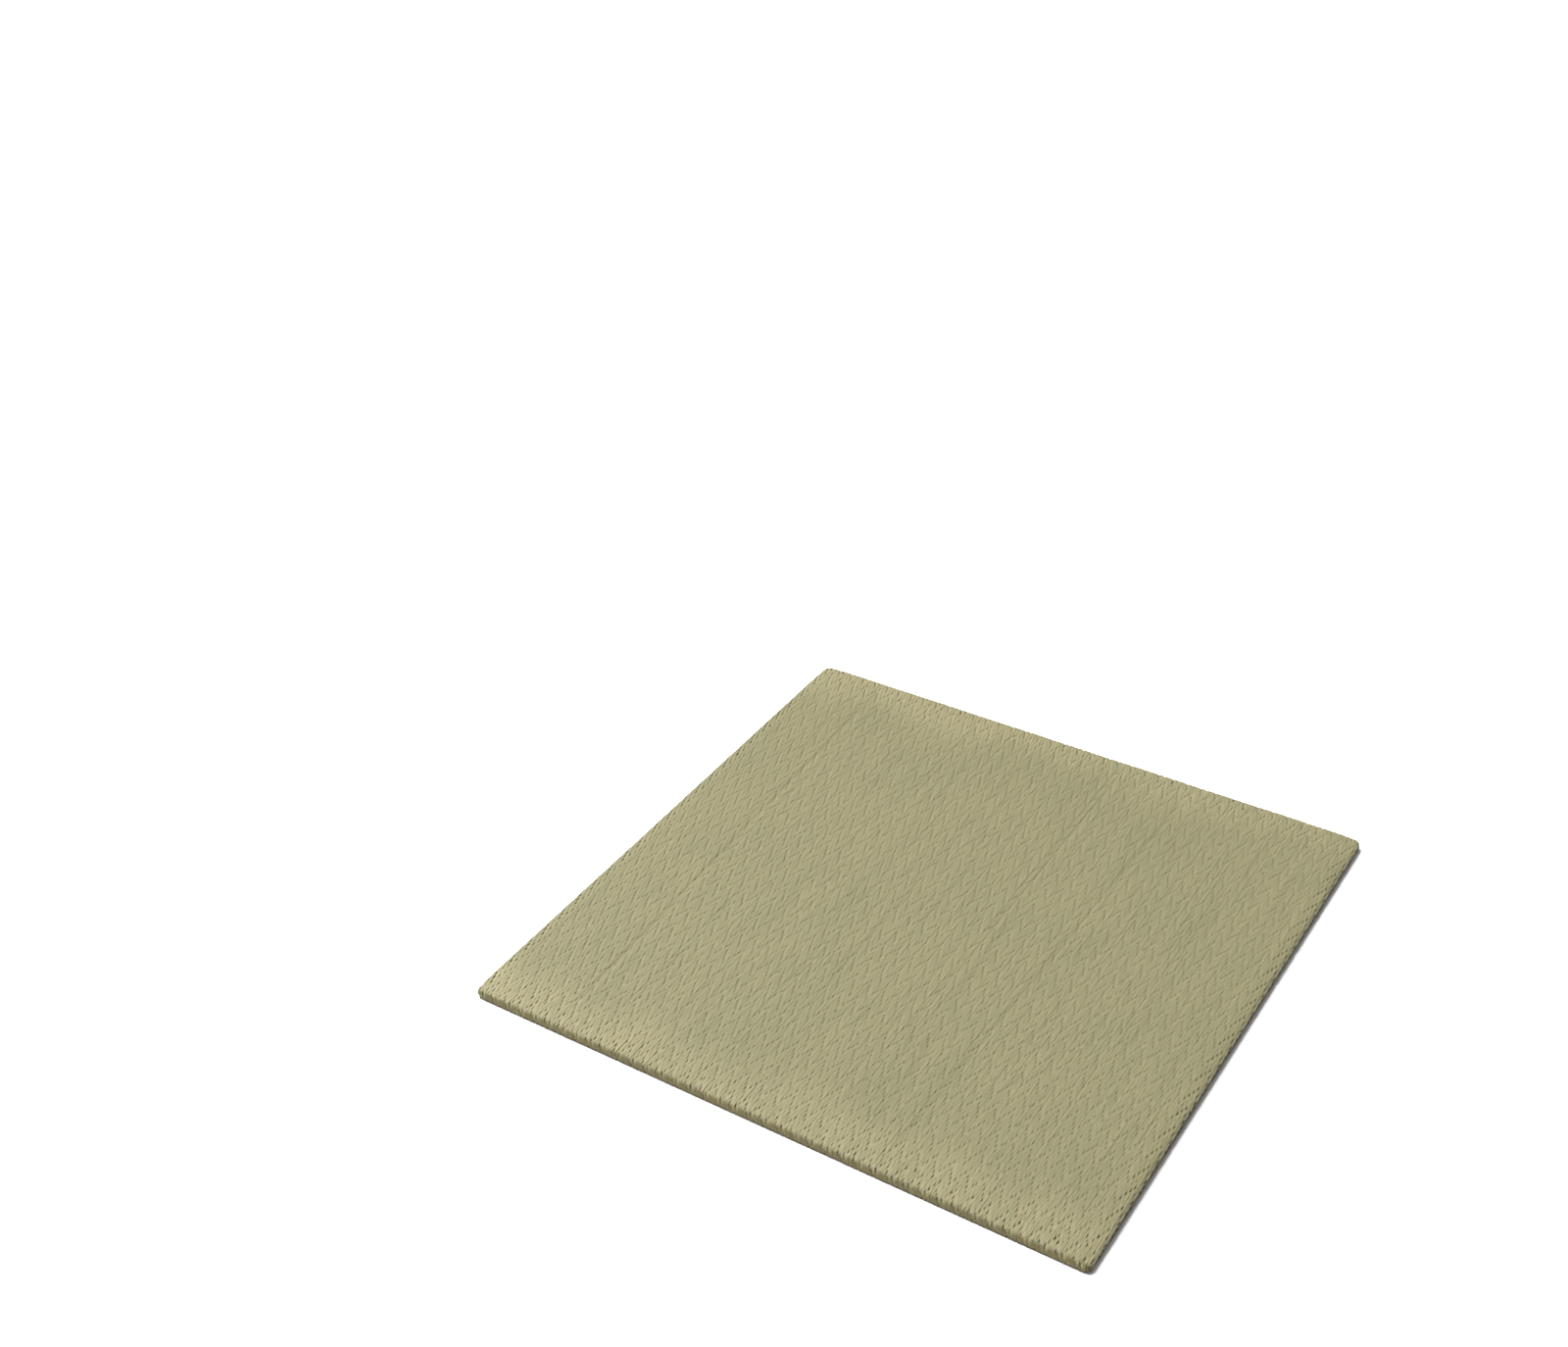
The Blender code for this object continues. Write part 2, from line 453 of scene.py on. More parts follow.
def paintedSideShades(tree, fromEnds, fromSides, up):
    # masks for painted shade: on the side faces, on the rolled sides' lower part, and a painted contact
    # shadow line beside the floor
    rollSide = rangeNode(tree, -1100, -500, fromSides, *rushPlaces["rollSide"], 0.0, 1.0)
    endSide = rangeNode(tree, -1100, -750, fromEnds, *rushPlaces["endSide"], 0.0, 1.0)
    outerEdge = mathNode(tree, "MAXIMUM", -900, -650, rollSide, endSide)
    faceHeight = mathNode(tree, "MULTIPLY_ADD", -900, -450, rollSide, rollFaceLower, up)
    face = rangeNode(tree, -700, -450, faceHeight, *rushPlaces["sideFace"], 0.0, rushFinish["sideShadeShare"])
    low = rangeNode(tree, -700, -700, up, *rushPlaces["rollShadeHeights"], 0.0, rushFinish["rollShadeShare"])
    line = rangeNode(tree, -700, -950, up, *rushPlaces["floorLine"], 0.0, rushFinish["contactShadowShare"])
    faceShadeMask = mathNode(tree, "MULTIPLY", -500, -450, face, outerEdge)
    rollShadeMask = mathNode(tree, "MULTIPLY", -500, -700, rollSide, low)
    contactShadowMask = mathNode(tree, "MULTIPLY", -500, -950, line, outerEdge)
    return faceShadeMask, rollShadeMask, contactShadowMask


def fleckMask(tree, column, along, bendBand):
    # rare brown flecks, mostly at the bends
    drawn = mathNode(tree, "MULTIPLY", -1300, -1700, along, rushFinish["flecksAlong"])
    spots = mathNode(tree, "FLOOR", -1100, -1700, drawn)
    noise = addNode(tree, "ShaderNodeTexWhiteNoise", -700, -1700)
    tree.links.new(joinNode(tree, -900, -1700, column, spots), noise.inputs["Vector"])
    atBend = -rushFinish["fleckChanceAtBend"]
    chance = mathNode(tree, "MULTIPLY_ADD", -700, -1900, bendBand, atBend, 1.0 - rushFinish["fleckChance"])
    fleck = mathNode(tree, "GREATER_THAN", -500, -1700, noise.outputs["Value"], chance)
    return mathNode(tree, "MULTIPLY", -300, -1700, fleck, rushFinish["fleckShare"])


def rushMaterial():
    material = bpy.data.materials.new("wovenRush")
    material.use_nodes = True
    tree = material.node_tree
    shader = tree.nodes["Principled BSDF"]
    shader.location = (1900, 0)
    tree.nodes["Material Output"].location = (2200, 0)
    place = addNode(tree, "ShaderNodeAttribute", -1900, 300, attribute_name="strandPlace")
    deep = addNode(tree, "ShaderNodeAttribute", -1900, -1100, attribute_name="strandShadeAndHighlight").outputs["Fac"]
    spot = addNode(tree, "ShaderNodeTexCoord", -1900, -100).outputs["Object"]
    column, across, along = splitNode(tree, -1700, 300, place.outputs["Vector"])
    right, far, up = splitNode(tree, -1500, -250, spot)
    fromEnds = mathNode(tree, "ABSOLUTE", -1300, -250, far)
    fromSides = mathNode(tree, "ABSOLUTE", -1300, -450, right)
    stemMix, floatTone = stemTones(tree, column, across, along)

    # broad changes: warm patches, and the paler bands beside the bends, their strength falling to the right
    # as painted light
    patches = placeGroup(tree, broadPatches, -1300, 0, Place=spot, Size=rushFinish["patchSize"])["Mask"]
    ragged = mathNode(tree, "MULTIPLY_ADD", -1100, -200, patches, rushFinish["bandRagged"], fromEnds)
    bendBand = rangeNode(tree, -900, -200, ragged, *rushPlaces["bendBand"], 0.0, 1.0)
    stemWarmth = mathNode(tree, "MULTIPLY", -100, 500, stemMix, rushFinish["stemWarmth"])
    warmth = mathNode(tree, "MULTIPLY_ADD", 100, 400, floatTone, rushFinish["floatWarmth"], stemWarmth)
    warmth = mathNode(tree, "MULTIPLY_ADD", 300, 400, patches, rushFinish["patchWarmth"], warmth)
    colour = mixColour(tree, 500, 400, warmth, rushFinish["green"], rushFinish["straw"])
    bandPaintedLight = rushFinish["bandPaintedLight"]
    bandShare = mathNode(tree, "MULTIPLY_ADD", -700, -100, right, bandPaintedLight, rushFinish["bandShare"])
    bandMask = mathNode(tree, "MULTIPLY", -500, -150, bendBand, bandShare)
    colour = mixColour(tree, 660, 350, bandMask, colour, rushFinish["bendTone"])

    # painted shade: the side faces are darker, and the rolled ones darker still towards the floor
    faceShadeMask, rollShadeMask, contactShadowMask = paintedSideShades(tree, fromEnds, fromSides, up)
    colour = mixColour(tree, 820, 300, faceShadeMask, colour, rushFinish["foot"])

    # a painted highlight on the crests; painted shade on the strand's own sides and between the strands
    fromLine = mathNode(tree, "MULTIPLY_ADD", -1100, -1200, across, 2.0, -1.0)
    sideways = mathNode(tree, "ABSOLUTE", -900, -1200, fromLine)
    sideFrom = rushFinish["sideFrom"]
    sideShade = rangeNode(tree, -700, -1200, sideways, sideFrom, 1.0, 0.0, rushFinish["sideShade"])
    deepShade = mathNode(tree, "MULTIPLY", -700, -1450, deep, rushFinish["deepShade"])
    shade = mathNode(tree, "MAXIMUM", -500, -1300, sideShade, deepShade)
    crestFull = rushFinish["crestFull"]
    crestHighlight = rangeNode(tree, -300, -1100, deep, 0.0, crestFull, 0.0, rushFinish["crestShare"])
    colour = mixColour(tree, 980, 250, crestHighlight, colour, rushFinish["crest"])
    colour = mixColour(tree, 1140, 200, shade, colour, rushFinish["shade"])
    # painted shade on the rolled sides' lower part, then a painted contact shadow line along the floor
    colour = mixColour(tree, 1300, 150, rollShadeMask, colour, rushFinish["rollFoot"])
    colour = mixColour(tree, 1460, 100, contactShadowMask, colour, rushFinish["rollFoot"])

    # fine fibres, and a brightness of its own for each float
    fibrePlace = joinNode(tree, -100, -300, mathNode(tree, "ADD", -300, -300, column, across), along)
    grain = placeGroup(tree, fibreGrain, 100, -300, Place=fibrePlace, **rushFinish["fibres"])["Grain"]
    darkest = rushFinish["darkest"] - rushFinish["floatChange"] / 2
    tone = mathNode(tree, "MULTIPLY_ADD", 300, -100, grain, rushFinish["fibreChange"], darkest)
    tone = mathNode(tree, "MULTIPLY_ADD", 500, -100, floatTone, rushFinish["floatChange"], tone)
    toneColour = joinNode(tree, 700, -100, tone, tone, tone)
    colour = mixColour(tree, 1580, 50, 1.0, colour, toneColour, "MULTIPLY")
    colour = mixColour(tree, 1740, 0, fleckMask(tree, column, along, bendBand), colour, rushFinish["fleck"])
    tree.links.new(colour, shader.inputs["Base Color"])

    smoothest = rushFinish["roughness"] - rushFinish["roughnessChange"] / 2
    rough = mathNode(tree, "MULTIPLY_ADD", 1300, -300, grain, rushFinish["roughnessChange"], smoothest)
    tree.links.new(rough, shader.inputs["Roughness"])
    shader.inputs["Specular IOR Level"].default_value = rushFinish["sheen"]

    # the stems of a strand stand up side by side
    stemTurn = mathNode(tree, "MULTIPLY", 300, -600, across, 2.0 * math.pi)
    stemWave = mathNode(tree, "ABSOLUTE", 700, -600, mathNode(tree, "SINE", 500, -600, stemTurn))
    stemHeight = mathNode(tree, "MULTIPLY", 900, -600, stemWave, rushFinish["stemHeight"])
    height = mathNode(tree, "MULTIPLY_ADD", 1100, -500, grain, rushFinish["fibreHeight"], stemHeight)
    addBump(tree, 1500, -500, height, rushFinish["bumpDistance"], rushFinish["bumpStrength"], shader)
    return material


boardFinish = {
    "between": (0.170, 0.155, 0.080),    # painted shade: the board is dark so the gaps between the strands read as shade
    "betweenContrast": 0.5,
    "underside": (0.300, 0.270, 0.190),
    "undersideContrast": 0.25,
    "fibres": {"Across": 900.0, "Along": 120.0},
    "patchSize": 0.12,
    "patchShare": 0.3,                   # the patches' contrast beside the fibres' own
    "roughness": 0.8,
    "bumpDistance": 0.0002,
    "bumpStrength": 0.5,
}


def boardMaterial(name, baseColour, contrast):
    material = bpy.data.materials.new(name)
    material.use_nodes = True
    tree = material.node_tree
    shader = tree.nodes["Principled BSDF"]
    shader.location = (700, 0)
    tree.nodes["Material Output"].location = (1000, 0)
    spot = addNode(tree, "ShaderNodeTexCoord", -900, 0).outputs["Object"]
    grain = placeGroup(tree, fibreGrain, -600, 100, Place=spot, **boardFinish["fibres"])["Grain"]
    patches = placeGroup(tree, broadPatches, -600, -150, Place=spot, Size=boardFinish["patchSize"])["Mask"]
    tone = mathNode(tree, "MULTIPLY_ADD", -300, 100, grain, contrast, 1.0 - contrast / 2)
    patchContrast = contrast * boardFinish["patchShare"]
    tone = mathNode(tree, "MULTIPLY_ADD", -150, 0, patches, patchContrast, tone)
    toneColour = joinNode(tree, 0, 0, tone, tone, tone)
    colour = mixColour(tree, 200, 100, 1.0, baseColour, toneColour, "MULTIPLY")
    tree.links.new(colour, shader.inputs["Base Color"])
    shader.inputs["Roughness"].default_value = boardFinish["roughness"]
    addBump(tree, 400, -250, grain, boardFinish["bumpDistance"], boardFinish["bumpStrength"], shader)
    return material


rush = rushMaterial()
# the board's top and sides take the painted shade between the strands
boardShadeBetween = boardMaterial("boardShadeBetweenStrands", boardFinish["between"], boardFinish["betweenContrast"])
boardUnder = boardMaterial("boardUnderside", boardFinish["underside"], boardFinish["undersideContrast"])
print("materials made")


# The board inside, a closed body a strand's depth within the mat's surface
board = {
    "inset": 0.0019,
    "gridSteps": 60,
    "gridMargin": 0.004,                     # left between the even grid and the rim
    "rim": (0.0, 0.0005, 0.0010, 0.0015),    # the grid's outermost lines, past where the corners begin
    "edgeSteps": 4,
    "crispFrom": 50.0,                       # degrees between two faces
}


def boardGrid():
    # the board's top as a grid, and the way round its rim
    fine = inner - board["gridMargin"]
    rim = inner + np.array(board["rim"])
    lines = np.concatenate([-rim[::-1], np.linspace(-fine, fine, board["gridSteps"]), rim])
    count = len(lines)
    gridX, gridY = np.meshgrid(lines, lines)
    gridZ = thickness - board["inset"] + topFall(gridX, gridY)
    faces = []
    for j in range(count - 1):
        for i in range(count - 1):
            k = j * count + i
            faces.append((k, k + 1, k + count + 1, k + count))
    walk = list(range(count)) + [j * count + count - 1 for j in range(1, count)]
    walk += [(count - 1) * count + i for i in range(count - 2, -1, -1)]
    walk += [j * count for j in range(count - 2, 0, -1)]
    return np.stack([gridX.ravel(), gridY.ravel(), gridZ.ravel()], axis=1), faces, np.array(walk)


def edgePlace(x, y):
    # nearest point of the square inside the corners, and the outward way from it in plan
    coreX = np.clip(x, -inner, inner)
    coreY = np.clip(y, -inner, inner)
    awayX = x - coreX
    awayY = y - coreY
    reach = np.hypot(awayX, awayY)
    return coreX, coreY, awayX / reach, awayY / reach


def boardPoints():
    grid, faces, ring = boardGrid()
    points = [grid]
    total = len(grid)
    inset = board["inset"]
    top = thickness - inset
    coreX, coreY, awayX, awayY = edgePlace(grid[ring, 0], grid[ring, 1])
    radius = matForm["bendRadius"] * awayY ** 2 + matForm["rollRadius"] * awayX ** 2 - inset
    planRadius = matForm["cornerRadius"] - inset

    # rings down the rounded edge, each as its inset and its drop, and one at the wall's foot
    rings = []
    for angle in np.linspace(0.0, math.pi / 2, board["edgeSteps"] + 1):
        rings.append((radius * (1 - math.sin(angle)), radius * (1 - math.cos(angle))))
    rings.append((0.0, top - inset))
    for inward, drop in rings:
        x = coreX + awayX * (planRadius - inward)
        y = coreY + awayY * (planRadius - inward)
        z = top - drop
        z = z + topFall(x, y) * (z - inset) / (top - inset)
        points.append(np.stack([x, y, z], axis=1))
        lower = np.arange(len(ring)) + total
        total += len(ring)
        for k in range(len(ring)):
            n = (k + 1) % len(ring)
            faces.append((int(ring[k]), int(lower[k]), int(lower[n]), int(ring[n])))
        ring = lower
    faces.append(tuple(int(k) for k in reversed(ring)))
    return np.concatenate(points), faces


def makeBoard():
    points, faces = boardPoints()
    mesh = bpy.data.meshes.new("board")
    mesh.from_pydata(points.tolist(), [], faces)
    mesh.shade_smooth()
    mesh.set_sharp_from_angle(angle=math.radians(board["crispFrom"]))
    mesh.materials.append(boardShadeBetween)
    mesh.materials.append(boardUnder)
    mesh.polygons[len(mesh.polygons) - 1].material_index = 1
    piece = bpy.data.objects.new("board", mesh)
    bpy.context.scene.collection.objects.link(piece)
    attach(piece, "root")
    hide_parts("mat")
    return piece


boardPiece = makeBoard()
print("board made,", len(boardPiece.data.polygons), "faces")


# The woven facing. Each strand is a flat bundle of stems, a closed tube that rises and dips in a
# pointed twill.
weave = {
    "pitch": 0.00255,            # from one strand to the next
    "repeat": 0.0340,            # one rise and one dip, along the strand
    "order": (0.0, 0.2, 0.4, 0.6, 0.8, 0.6, 0.4, 0.2),    # how far each strand is ahead, in repeats
    "depth": 0.0020,             # from the crests down to the strands' bed
    "strandHeight": 0.0012,
    "widthUp": 0.0034,
    "widthDown": 0.0029,
    "shoulder": 0.90,            # height of a strand's shoulders beside its middle, pressed flat
    "shoulderAtBend": 0.64,      # rounder where the strands are loose
    "dip": 0.00055,              # how far the strands dive under the crests
    "dipAtBend": 0.00086,
    "dipAtRoll": 0.00120,
    "dipLessOnWall": 0.5,        # share of the dip that the side faces lose
    "looseBand": 0.070,          # width of the looser band beside each bend
    "rollBand": 0.016,           # the same beside each roll
    "rollSoftness": 0.008,
    "wallSoftness": 0.004,
    "sideStrands": 16,           # on each side, from the roll to the margin underneath
    "topStrands": 317,
    "hem": 0.024,                # turned under the mat
    "hemGap": 0.003,             # between two hems where they meet in a corner
    "sideJitter": 0.00006,
    "liftJitter": 0.18,
    "liftMoreAtBend": 1.2,
    "phaseJitter": 0.030,
    "sway": 0.00008,
    "gaps": (                    # lines where the strands lie apart, in the same columns as the creases
        (-0.313, -0.286, 0.00020, 0.0036),
        (-0.005, -0.002, 0.00008, 0.0030),
        (0.054, 0.124, 0.00012, 0.0060),
        (0.176, 0.156, 0.00018, 0.0036),
    ),
    "stationGap": 0.0009,        # least distance of a strand's points from those that a bend needs
    "endGap": 0.001,
    "seed": 7,
    "pieces": 5,
}

# How strands of the left and right sides go round the mat's corners
cornerTurn = {
    "turn": math.radians(84.0),                      # where their ends are
    "stops": (0.0, 0.0020, 0.0040, 0.0062),          # points past where the corner begins
    "tuck": 0.0016,                                  # how far their ends go under the other strands
    "tuckFrom": math.radians(50.0),
    "tuckOver": math.radians(30.0),
    "blend": 0.006,                                  # where the other strands' ends begin to follow it
}

# The attribute for the painted shade and highlight: above 0 where a strand lies low or in a gap (painted
# shade), below 0 on its crests (painted highlight)
strandTone = {
    "low": 0.8,
    "lowLessAtBend": 0.1,
    "lowFrom": 0.60,           # the rise under which it begins, and how much further down it is full
    "lowOver": 0.80,
    "gap": 5000.0,             # painted shade in the gaps, for each metre of a gap's depth
    "crest": 0.7,
    "crestMoreAtBend": 1.3,
    "crestLessOnWall": 0.9,
    "crestFrom": 0.90,
    "crestOver": 0.10,
}
columnStart = 200.0    # keep the strandPlace attribute's first and third values above 0
turnStart = 40.0

random = np.random.default_rng(weave["seed"])
midDepth = weave["depth"] / 2

# a strand's cross-section: places from edge to edge, and which of them are the middle and the shoulders
sectionAcross = np.array([-1.0, -0.72, 0.0, 0.72, 1.0])
sectionMiddle = np.array([0.0, 0.0, 1.0, 0.0, 0.0])
sectionShoulder = np.array([0.0, 1.0, 0.0, 1.0, 0.0])
sides = len(sectionAcross)

# a strand's rise over one repeat, for the strands whose groove runs down to the right; the others are
# its mirror image
fallTurns = np.array([0.0, 0.12, 0.19, 0.27, 0.34, 0.47, 0.69, 0.77, 0.85, 1.0])
fallShape = np.array([0.86, 0.76, -0.30, -0.30, 0.90, 1.00, 0.88, 0.38, 0.88, 0.86])
climbTurns = 1.0 - fallTurns[::-1]
climbShape = fallShape[::-1]
grooveTurn = 0.23

arcAngles = np.radians(np.arange(0, 91, 7.5))
arcRows = len(arcAngles)


def halfProfile(edgeRadius):
    # from the middle of the top, over the edge, down the wall and under: length at mid-depth,
    # inset from the wall, drop from the top, outward normal sideways and up
    rows = [(0.0, half, 0.0, 0.0, 1.0)]
    length = half - edgeRadius
    for angle in arcAngles:
        rows.append((length + angle * (edgeRadius - midDepth), edgeRadius * (1 - math.sin(angle)),
                     edgeRadius * (1 - math.cos(angle)), math.sin(angle), math.cos(angle)))
    foot = matForm["footRadius"]
    length = rows[-1][0] + thickness - edgeRadius - foot
    for angle in arcAngles:
        rows.append((length + angle * (foot - midDepth), foot * (1 - math.cos(angle)),
                     thickness - foot * (1 - math.sin(angle)), math.cos(angle), -math.sin(angle)))
    length = rows[-1][0]
    rows.append((length + weave["hem"], foot + weave["hem"], thickness, 0.0, -1.0))
    return np.array(rows).T


def lookUp(profile, length):
    return [np.interp(length, profile[0], row) for row in profile[1:]]


bendProfile = halfProfile(matForm["bendRadius"])
rollProfile = halfProfile(matForm["rollRadius"])

# the points that a bend needs, some on its arc and some on its foot, and the strand's end
bendEnd = bendProfile[0][-1]
bendArc = bendProfile[0][1:1 + arcRows:4]
bendFoot = bendProfile[0][1 + arcRows:1 + 2 * arcRows:6]
bendStops = np.concatenate([bendArc, bendFoot, [bendEnd]])
rollFoot = rollProfile[0][1 + arcRows + arcRows // 2]


def alongPoints(across, along, under):
    # places on a strand that runs over the top and bends down at both ends
    inward, drop, out, up = lookUp(bendProfile, np.abs(along))
    sideIn, sideDrop, sideOut = lookUp(rollProfile, np.abs(across))[:3]
    flat = np.clip((thickness - drop) / thickness, 0.0, 1.0)
    x = np.sign(across) * (half - sideIn - under * sideOut * flat)
    past = np.clip(np.abs(x) - inner, 0.0, matForm["cornerRadius"])
    cornerIn = matForm["cornerRadius"] - np.sqrt(matForm["cornerRadius"] ** 2 - past ** 2)
    y = np.sign(along) * (half - inward - under * out)
    blend = cornerTurn["blend"]
    y = y - np.sign(y) * cornerIn * softStep((np.abs(y) - inner + blend / 2) / blend)
    z = thickness - drop - sideDrop * flat - under * up
    return x, y, z + topFall(x, y) * np.clip(z / thickness, 0.0, 1.0)


def cornerPoints(across, along, under):
    # places on a strand of the left or right side, which goes round both corners
    inward, drop, out, up = lookUp(rollProfile, np.abs(across))
    pastInner = np.abs(along) - inner
    turn = np.clip(pastInner / (matForm["cornerRadius"] - midDepth), 0.0, cornerTurn["turn"])
    roll = matForm["rollRadius"]
    radius = roll * np.cos(turn) ** 2 + matForm["bendRadius"] * np.sin(turn) ** 2
    foot = thickness - matForm["footRadius"]
    wallDrop = radius + (drop - roll) * (foot - radius) / (foot - roll)
    newDrop = np.where(drop < roll, drop * radius / roll, np.where(drop < foot, wallDrop, drop))
    newInward = np.where(drop < roll, inward * radius / roll, inward)
    tuck = cornerTurn["tuck"] * softStep((turn - cornerTurn["tuckFrom"]) / cornerTurn["tuckOver"])
    reach = matForm["cornerRadius"] - newInward - (under + tuck) * out
    x = np.sign(across) * (inner + reach * np.cos(turn))
    y = np.clip(along, -inner, inner) + np.sign(along) * reach * np.sin(turn)
    z = thickness - newDrop - (under + tuck) * up
    return x, y, z + topFall(x, y) * np.clip(z / thickness, 0.0, 1.0)


def sideStops(middle):
    # where a strand of the left or right side ends, and the points that it needs near there
    if abs(middle) > rollFoot:
        last = half - weave["hem"] - weave["hemGap"]
        return last, np.array([last])
    last = inner + (matForm["cornerRadius"] - midDepth) * cornerTurn["turn"]
    return last, np.array([inner + past for past in cornerTurn["stops"]] + [last])


def strandStations(riseTurns, phase, last, stops):
    # places along a strand, in step with its rises, and the stops that it needs
    first = math.floor(-last / weave["repeat"] + phase)
    count = int(2 * last / weave["repeat"]) + 3
    even = (first + np.arange(count)[:, None] + riseTurns[None, :-1]).ravel()
    even = (even - phase) * weave["repeat"]
    even = even[np.abs(even) < last - weave["endGap"]]
    stops = np.concatenate([-stops, stops])
    gaps = np.abs(even[:, None] - stops[None, :]).min(axis=1)
    return np.sort(np.concatenate([even[gaps > weave["stationGap"]], stops]))


def makeStrand(number):
    # one strand's points, as rows of five, with its place in the weave and the value for its painted shade
    # and highlight, from how low it lies
    place = number % len(weave["order"])
    falls = place < len(weave["order"]) // 2
    riseTurns, riseShape = (fallTurns, fallShape) if falls else (climbTurns, climbShape)
    phase = weave["order"][place] + random.normal(0.0, weave["phaseJitter"])
    middle = number * weave["pitch"] + random.normal(0.0, weave["sideJitter"])
    onTop = abs(number) <= weave["topStrands"] // 2
    last, stops = (bendEnd, bendStops) if onTop else sideStops(middle)
    stations = strandStations(riseTurns, phase, last, stops)
    turns = stations / weave["repeat"] + phase
    rise = np.interp(turns % 1.0, riseTurns, riseShape)

    # 0 to 1: how loose the weave is, how near to the roll, how far down a side face
    fromEnd = np.clip(half - np.abs(stations), 0.0, half)
    loose = 1.0 - softStep(fromEnd / weave["looseBand"])
    atRoll = softStep((abs(middle) - half + weave["rollBand"]) / weave["rollSoftness"])
    onEndWall = softStep((np.abs(stations) - half) / weave["wallSoftness"])
    onWall = np.maximum(onEndWall, softStep((abs(middle) - half) / weave["wallSoftness"]))

    # each float lies a little higher or lower than the next, and a little to one side
    floats = np.floor(turns - (grooveTurn if falls else 1.0 - grooveTurn)).astype(int)
    floats -= floats.min()
    liftTable = random.normal(0.0, weave["liftJitter"], floats.max() + 1)
    swayTable = random.normal(0.0, 1.0, floats.max() + 2)
    lift = liftTable[floats] * (1.0 + weave["liftMoreAtBend"] * loose)
    sway = np.interp(turns - turns.min(), np.arange(len(swayTable)), swayTable)
    sway = sway * weave["sway"] * (1.0 + loose)

    # how far the strand lies under its crests
    dip = weave["dip"] + (weave["dipAtBend"] - weave["dip"]) * loose
    dip = dip + (weave["dipAtRoll"] - dip) * atRoll
    dip = dip * (1.0 - weave["dipLessOnWall"] * onWall)
    low = (1.0 - rise) * dip * (1.0 + lift)
    sink = 0.5 * dip * np.abs(lift)
    groove = creaseShape(weave["gaps"], middle, stations)

    # the tube's points
    width = weave["widthDown"] + (weave["widthUp"] - weave["widthDown"]) * rise
    across = middle + sway[:, None] + sectionAcross[None, :] * width[:, None] / 2
    along = np.repeat(stations[:, None], sides, axis=1)
    shoulder = weave["shoulder"] + (weave["shoulderAtBend"] - weave["shoulder"]) * loose
    section = sectionMiddle[None, :] + sectionShoulder[None, :] * shoulder[:, None]
    under = weave["strandHeight"] * (1.0 - section) + (low + sink + groove)[:, None]
    bendPoints = alongPoints if onTop else cornerPoints
    x, y, z = bendPoints(across, along, under)
    points = np.stack([x, y, np.maximum(z, 0.0)], axis=2)

    # what the material reads
    column = np.full_like(along, number + columnStart)
    inStrand = np.broadcast_to((sectionAcross + 1) / 2, along.shape)
    inWeave = np.repeat(turns[:, None] + turnStart, sides, axis=1)
    known = np.stack([column, inStrand, inWeave], axis=2)
    # painted shade where the strand lies low and in the gaps, painted highlight on its crests
    deepest = strandTone["low"] - strandTone["lowLessAtBend"] * loose
    deep = deepest * softStep((strandTone["lowFrom"] - rise) / strandTone["lowOver"])
    deep = deep + strandTone["gap"] * groove
    palest = strandTone["crest"] + strandTone["crestMoreAtBend"] * loose
    palest = palest * (1.0 - strandTone["crestLessOnWall"] * onWall)
    deep = deep - palest * softStep((rise - strandTone["crestFrom"]) / strandTone["crestOver"])
    return points.reshape(-1, 3), known.reshape(-1, 3), np.repeat(deep, sides)


def strandFaces(rows, start):
    # the tube's four upper strips and its flat bed, then its two ends
    base = np.arange(rows - 1)[:, None] * sides + start
    near = np.arange(sides)[None, :]
    beside = (near + 1) % sides
    corners = [base + near, base + beside, base + sides + beside, base + sides + near]
    strips = np.stack(corners, axis=2)
    last = start + (rows - 1) * sides
    quads = [[start + 4, start + 3, start + 1, start], [last, last + 1, last + 3, last + 4]]
    triangles = [[start + 3, start + 2, start + 1], [last + 1, last + 2, last + 3]]
    return np.concatenate([strips.reshape(-1, 4), quads]), np.array(triangles)


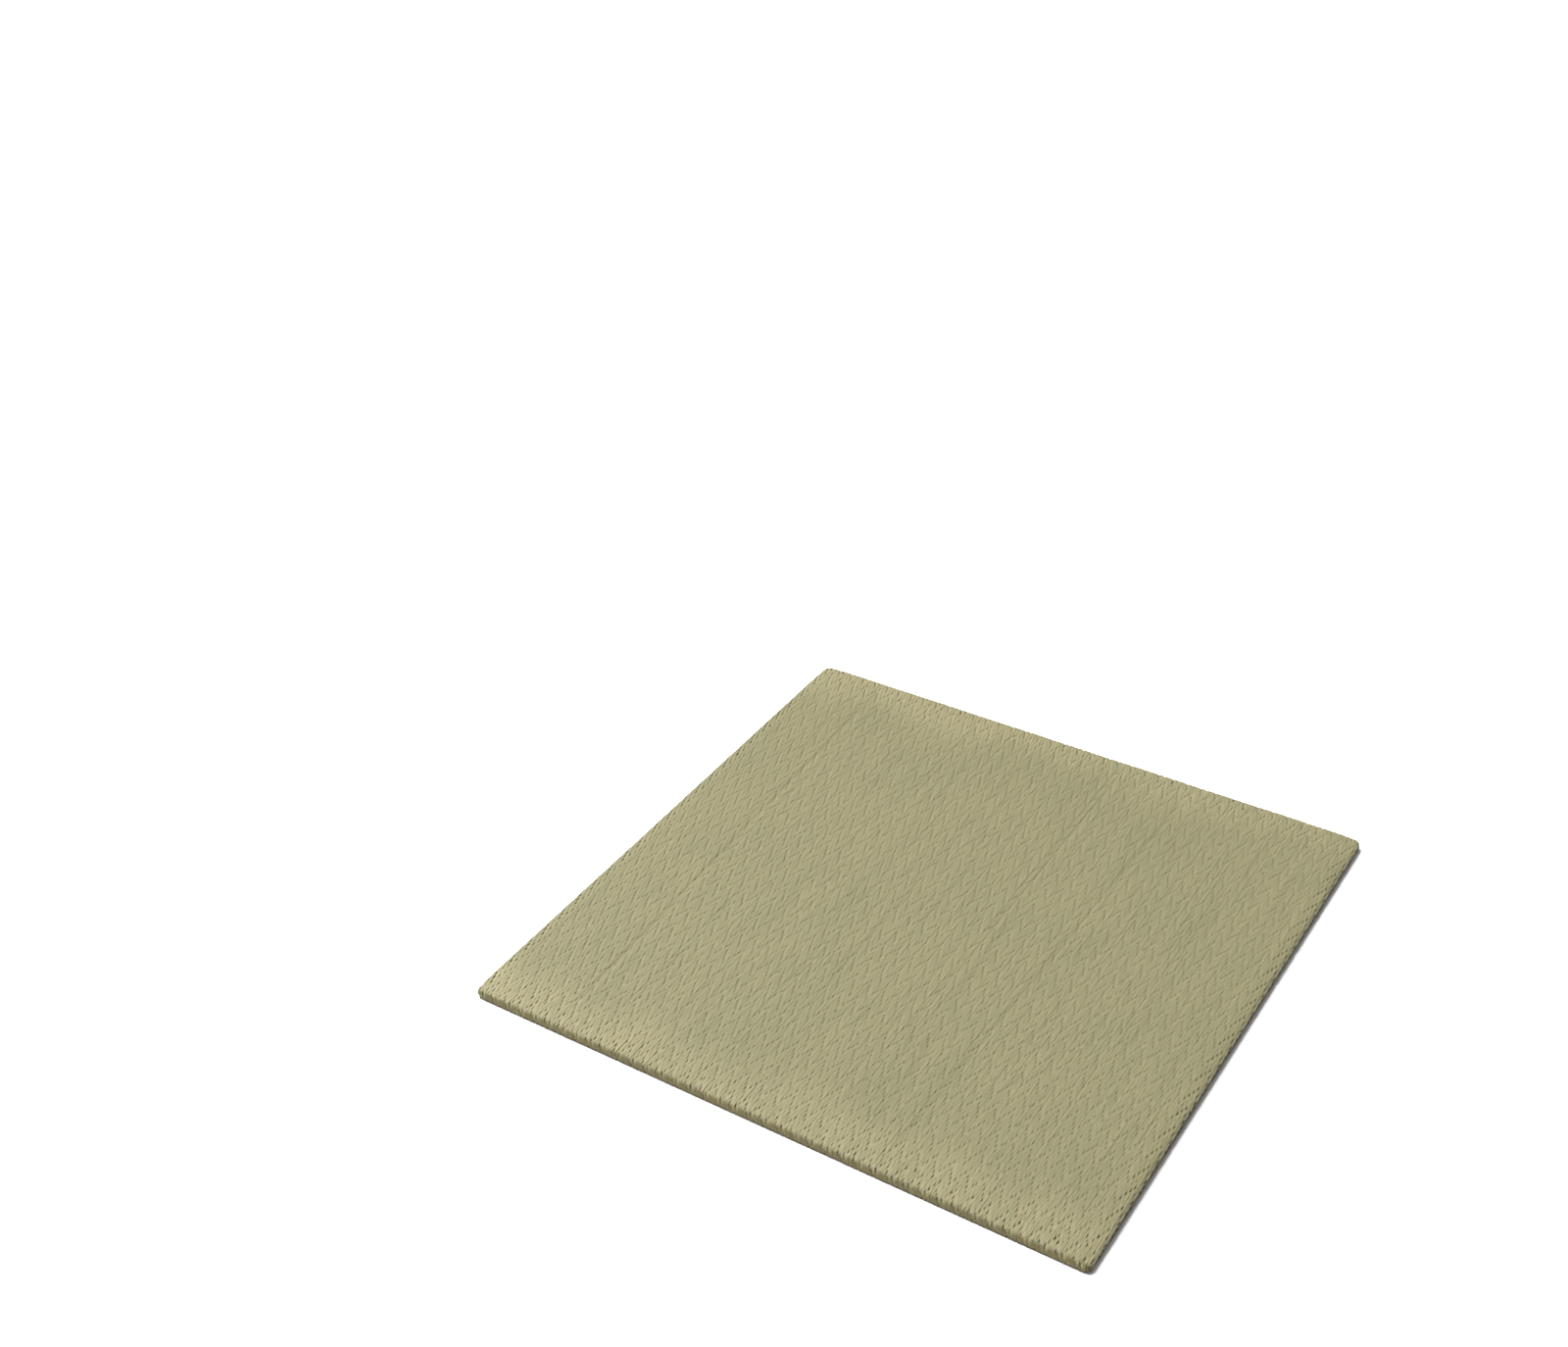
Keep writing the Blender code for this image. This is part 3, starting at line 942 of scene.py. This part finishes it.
def makeMesh(name, points, quads, triangles):
    corners = np.concatenate([quads.ravel(), triangles.ravel()]).astype(np.int32)
    starts = np.concatenate([np.arange(len(quads)) * 4, quads.size + np.arange(len(triangles)) * 3])
    mesh = bpy.data.meshes.new(name)
    mesh.vertices.add(len(points))
    mesh.vertices.foreach_set("co", points.astype(np.float32).ravel())
    mesh.loops.add(len(corners))
    mesh.loops.foreach_set("vertex_index", corners)
    mesh.polygons.add(len(starts))
    mesh.polygons.foreach_set("loop_start", starts.astype(np.int32))
    mesh.update(calc_edges=True)
    mesh.shade_smooth()
    return mesh


def markCrispEdges(mesh):
    # the shoulders along each strand stay crisp, so its sides are steep and its top is flat
    ends = np.empty(len(mesh.edges) * 2, dtype=np.int32)
    mesh.edges.foreach_get("vertices", ends)
    lines = ends.reshape(-1, 2) % sides
    crisp = (lines[:, 0] == lines[:, 1]) & ((lines[:, 0] == 1) | (lines[:, 0] == 3))
    mesh.attributes.new("sharp_edge", "BOOLEAN", "EDGE").data.foreach_set("value", crisp)


def addPointValues(mesh, name, kind, field, values):
    layer = mesh.attributes.new(name, kind, "POINT")
    layer.data.foreach_set(field, np.concatenate(values).astype(np.float32).ravel())


def makeWeavePiece(name, numbers):
    points, known, depths, quads, triangles = [], [], [], [], []
    start = 0
    for number in numbers:
        strandPoints, strandKnown, strandShadeAndHighlight = makeStrand(number)
        fours, threes = strandFaces(len(strandPoints) // sides, start)
        points.append(strandPoints)
        known.append(strandKnown)
        depths.append(strandShadeAndHighlight)
        quads.append(fours)
        triangles.append(threes)
        start += len(strandPoints)
    quads = np.concatenate(quads)
    triangles = np.concatenate(triangles)
    mesh = makeMesh(name, np.concatenate(points), quads, triangles)
    markCrispEdges(mesh)
    addPointValues(mesh, "strandPlace", "FLOAT_VECTOR", "vector", known)
    addPointValues(mesh, "strandShadeAndHighlight", "FLOAT", "value", depths)
    mesh.materials.append(rush)
    piece = bpy.data.objects.new(name, mesh)
    bpy.context.scene.collection.objects.link(piece)
    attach(piece, "root")
    print(name, len(numbers), "strands,", len(quads) * 2 + len(triangles), "triangles")


outermost = weave["topStrands"] // 2 + weave["sideStrands"]
allStrands = list(range(-outermost, outermost + 1))
share = math.ceil(len(allStrands) / weave["pieces"])
for k in range(weave["pieces"]):
    makeWeavePiece("facing_" + str(k + 1), allStrands[k * share:(k + 1) * share])
print("woven facing made")
